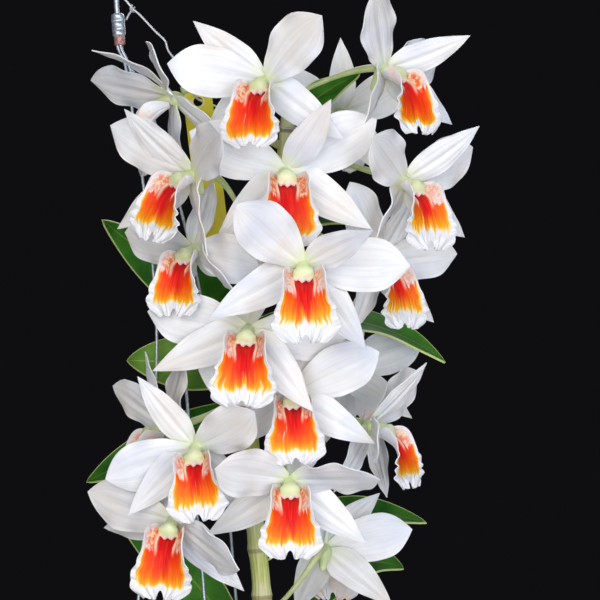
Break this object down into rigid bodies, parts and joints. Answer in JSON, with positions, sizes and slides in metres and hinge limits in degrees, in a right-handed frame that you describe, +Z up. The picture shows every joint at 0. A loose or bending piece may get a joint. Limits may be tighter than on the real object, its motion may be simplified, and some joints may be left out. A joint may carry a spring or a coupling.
{
  "type": "potted hanging orchid",
  "caption": "Flowering dendrobium orchid in a plain clay pot on a wire hanger, with a leafy cane of white blooms and orange lips.",
  "frame": {"origin": "the point inside the hanger's hook that rests on the rail", "axes": "+Z up, -Y towards the side that most blooms face, +X to the right as seen from there"},
  "size_m": [0.1891, 0.1493, 0.6063],
  "materials": {
    "petal": "soft waxy white petal",
    "lip": "satin petal, red to orange to yellow with a white frilled rim",
    "cane": "smooth living stem with papery sheaths",
    "leaf": "satin leathery leaf",
    "terracotta": "matt unglazed clay",
    "bark": "rough pine bark chips",
    "galvanised_wire": "dull galvanised",
    "tie_wire": "soft dull wire",
    "tag": "plain yellow plastic"
  },
  "bodies": {
    "root": {"bloom_01_tepals": "petal", "bloom_01_lip": "lip", "bloom_02_tepals": "petal", "bloom_02_lip": "lip", "bloom_03_tepals": "petal", "bloom_03_lip": "lip", "bloom_04_tepals": "petal", "bloom_04_lip": "lip", "bloom_05_tepals": "petal", "bloom_05_lip": "lip", "bloom_06_tepals": "petal", "bloom_06_lip": "lip", "bloom_07_tepals": "petal", "bloom_07_lip": "lip", "bloom_08_tepals": "petal", "bloom_08_lip": "lip", "bloom_09_tepals": "petal", "bloom_09_lip": "lip", "bloom_10_tepals": "petal", "bloom_10_lip": "lip", "bloom_11_tepals": "petal", "bloom_11_lip": "lip", "bloom_12_tepals": "petal", "bloom_12_lip": "lip", "bloom_13_tepals": "petal", "bloom_13_lip": "lip", "bloom_14_tepals": "petal", "bloom_14_lip": "lip", "bloom_15_tepals": "petal", "bloom_15_lip": "lip", "bloom_16_tepals": "petal", "bloom_16_lip": "lip", "bloom_17_tepals": "petal", "bloom_17_lip": "lip", "bloom_18_tepals": "petal", "bloom_18_lip": "lip", "bloom_19_tepals": "petal", "bloom_19_lip": "lip", "bloom_20_tepals": "petal", "bloom_20_lip": "lip", "flowering_cane": "cane", "back_cane_1": "cane", "back_cane_2": "cane", "leaf_1": "leaf", "leaf_2": "leaf", "leaf_3": "leaf", "leaf_4": "leaf", "leaf_5": "leaf", "leaf_6": "leaf", "leaf_7": "leaf", "leaf_8": "leaf", "leaf_9": "leaf", "pot": "terracotta", "bark": "bark", "hanger_wire_1": "galvanised_wire", "hanger_wire_2": "galvanised_wire", "hanger_wire_3": "galvanised_wire", "hanger_hook": "galvanised_wire", "tie_wire": "tie_wire", "tag": "tag"}
  },
  "joints": []
}
